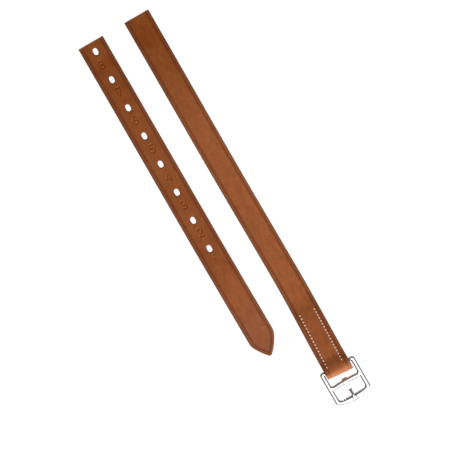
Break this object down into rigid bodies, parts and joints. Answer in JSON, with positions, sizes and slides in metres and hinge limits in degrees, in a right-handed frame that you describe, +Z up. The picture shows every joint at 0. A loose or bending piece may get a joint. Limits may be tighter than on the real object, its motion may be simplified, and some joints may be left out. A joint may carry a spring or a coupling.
{
  "type": "stirrup leather",
  "caption": "Flat leather riding strap as two end lengths: one pointed with numbered oval holes, the other stitched round a three-bar steel buckle with a tongue.",
  "frame": {"origin": "middle of the whole layout, on the surface that it lies on", "axes": "+Z up, +Y along the straps towards their square cut ends, +X across them from the pointed strap to the buckle strap"},
  "size_m": [0.0784, 0.408, 0.01],
  "materials": {
    "strap_leather": "smooth tan bridle leather, waxed, with creased and burnished edges",
    "buckle_steel": "polished stainless steel",
    "stitch_thread": "waxed cream linen thread"
  },
  "bodies": {
    "buckle_strap": {"buckle_strap": "strap_leather", "stitch_left_needle_thread": "stitch_thread", "stitch_left_bobbin_thread": "stitch_thread", "stitch_right_needle_thread": "stitch_thread", "stitch_right_bobbin_thread": "stitch_thread"},
    "point_strap": {"point_strap": "strap_leather"},
    "buckle_frame": {"buckle_frame": "buckle_steel"},
    "buckle_tongue": {"buckle_tongue": "buckle_steel"}
  },
  "joints": [
    {"name": "frame_swing", "type": "hinge", "parent": "buckle_strap", "child": "buckle_frame", "pos_m": [0.0211, -0.16835, 0.005], "axis": [-1, 0, 0], "range_deg": [0, 110]},
    {"name": "tongue_swing", "type": "hinge", "parent": "buckle_frame", "child": "buckle_tongue", "pos_m": [0.0211, -0.18408, 0.00354], "axis": [-1, 0, 0], "range_deg": [0, 100]},
    {"name": "point_strap_lift", "type": "slide", "parent": "buckle_strap", "child": "point_strap", "axis": [0, 0, 1], "range_m": [0, 0.15]}
  ]
}
